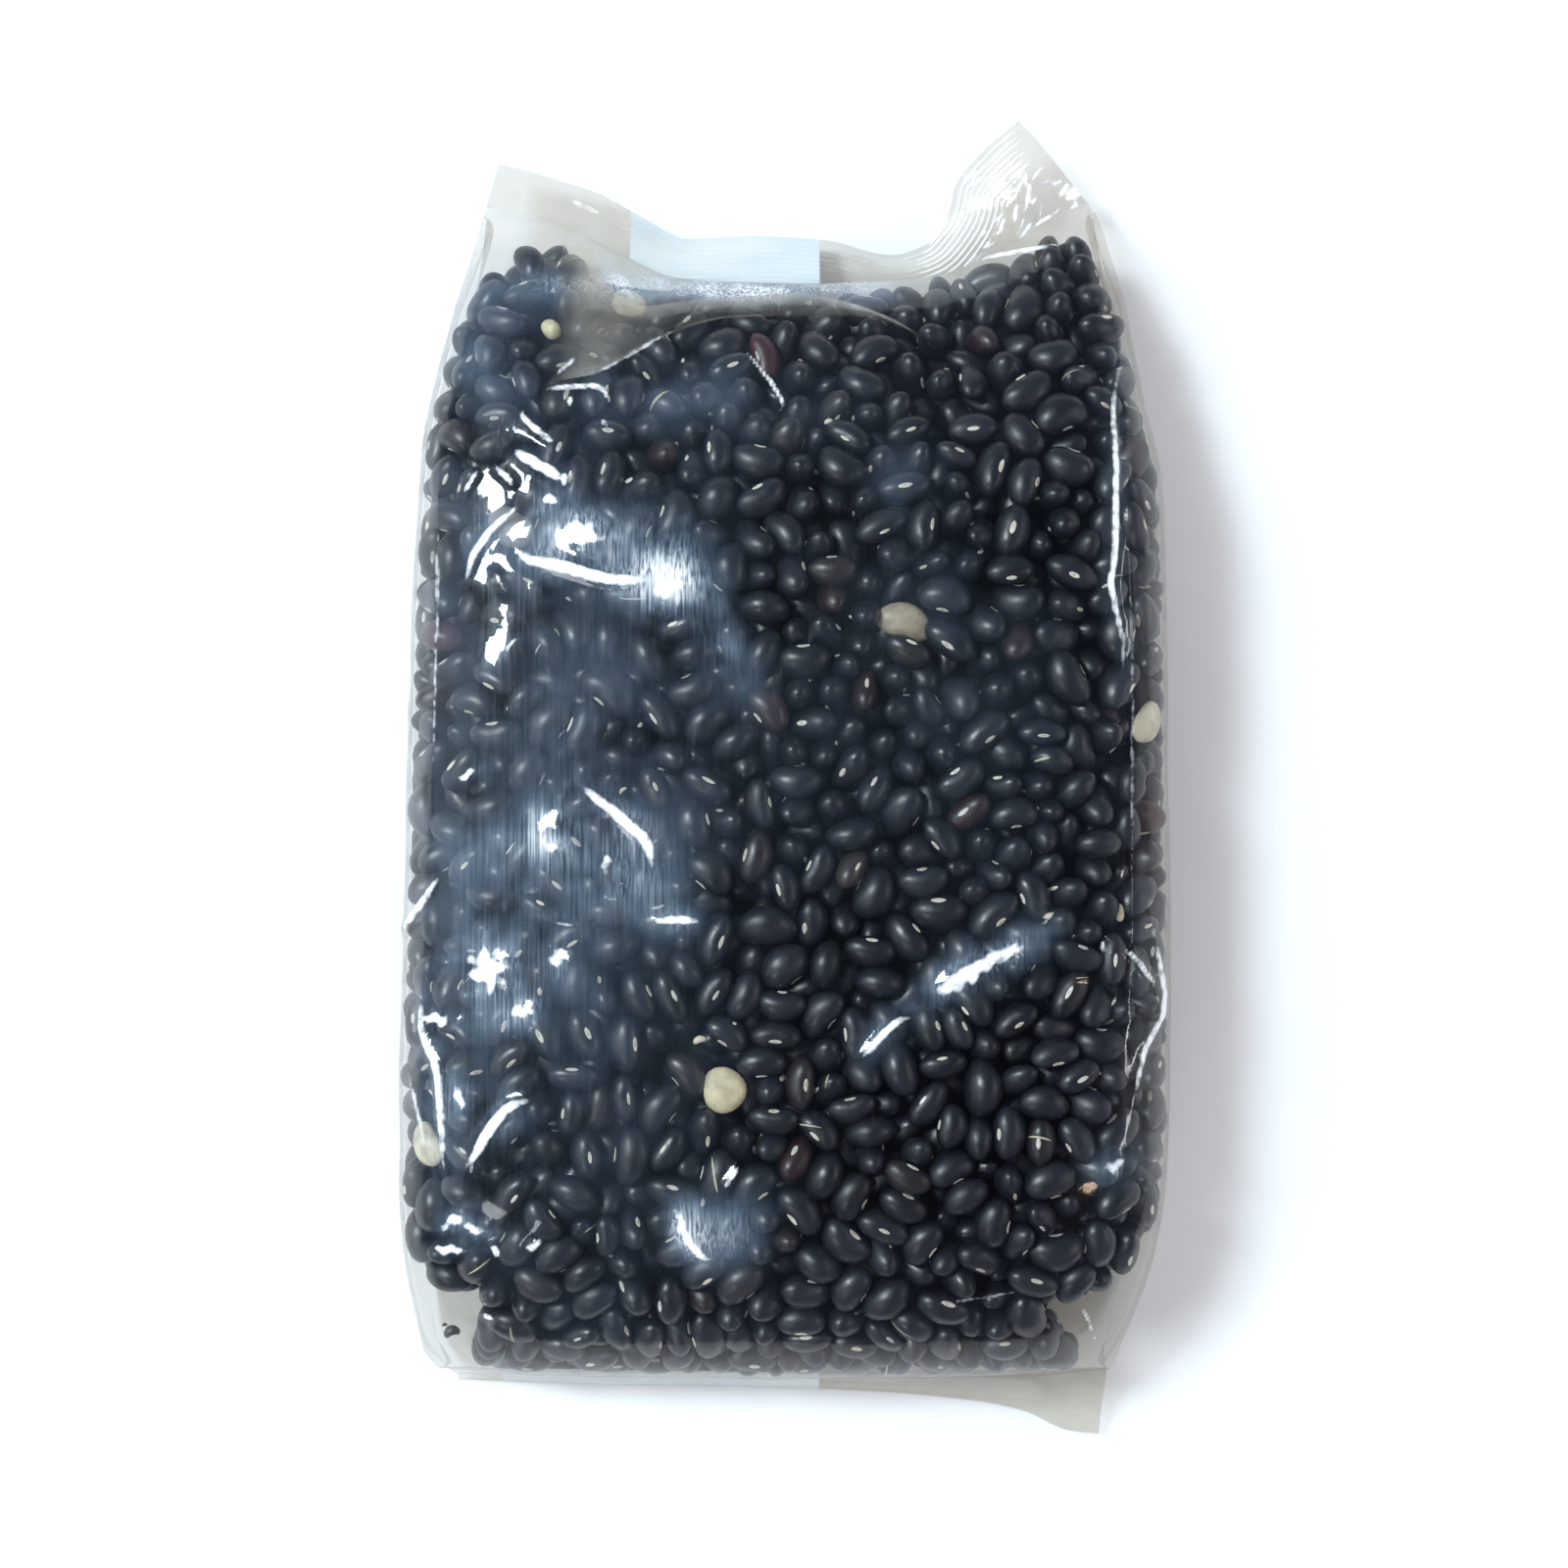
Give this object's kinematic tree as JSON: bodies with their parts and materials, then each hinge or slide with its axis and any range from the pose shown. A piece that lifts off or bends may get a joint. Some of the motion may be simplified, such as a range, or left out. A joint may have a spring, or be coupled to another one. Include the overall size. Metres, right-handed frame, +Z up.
{
  "type": "bag of dried beans",
  "caption": "Sealed clear film bag with side gussets, filled with dried black beans, lying on its back with a crimped top seal, two corner ears and a bottom fin.",
  "frame": {"origin": "centre of the bag's outline on the surface that it lies on", "axes": "+Y towards the top seal, along the bag's length; +Z up, out of the bag's front panel; +X to the right when the front is seen from above with the top seal away from the viewer"},
  "size_m": [0.1482, 0.2592, 0.0465],
  "materials": {
    "clear_film": "thin clear polypropylene film, glossy, creased, with fine rubbed scratches and a faint warm grey haze",
    "bean_skin": "dry blue-black seed coat with a satin sheen, a small pale oval scar and a few cracked, brown or maroon ones",
    "bean_inside": "bare cream to tan halves of beans that lost their skin, smooth and dull",
    "label_band": "bare pale blue printed band on the rear panel, with no text, crimped where the seal crosses it"
  },
  "bodies": {
    "root": {"bag": "clear_film"}
  },
  "joints": []
}
